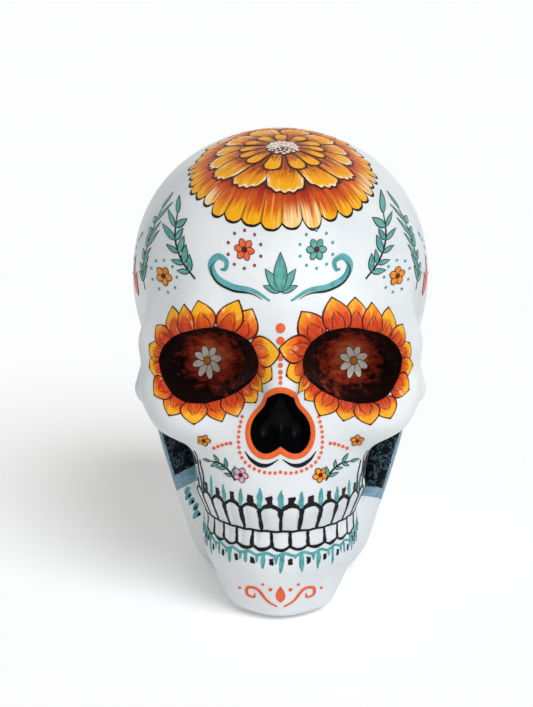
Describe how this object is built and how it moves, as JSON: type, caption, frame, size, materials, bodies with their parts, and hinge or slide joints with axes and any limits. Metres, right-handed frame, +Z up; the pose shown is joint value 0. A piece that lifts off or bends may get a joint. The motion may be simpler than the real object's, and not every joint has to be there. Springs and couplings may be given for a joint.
{
  "type": "sugar skull",
  "caption": "Life-size hollow skull ornament, painted white with orange petals round the eyes and crown, standing on felt feet over a pull-out base stopper.",
  "frame": {"origin": "on the surface the skull stands on, under the middle of its length and width", "axes": "+Z up, the face looks along -Y, +X to the right of a viewer who faces it"},
  "size_m": [0.1414, 0.1932, 0.2119],
  "materials": {
    "shell_paint": "cast body with white acrylic ground, hand-painted ornament and satin varnish",
    "strip_resin": "raw cast resin strip",
    "stopper_rubber": "matt black rubber",
    "foot_felt": "dark wool felt"
  },
  "bodies": {
    "skull": {"face_shell": "shell_paint", "back_shell": "shell_paint", "seam_strip": "strip_resin", "foot_front_left": "foot_felt", "foot_front_right": "foot_felt", "foot_rear_left": "foot_felt", "foot_rear_right": "foot_felt"},
    "stopper": {"base_stopper": "stopper_rubber"}
  },
  "joints": [
    {"name": "stopper_pull", "type": "slide", "parent": "skull", "child": "stopper", "axis": [0, 0, -1], "range_m": [0, 0.016]}
  ]
}
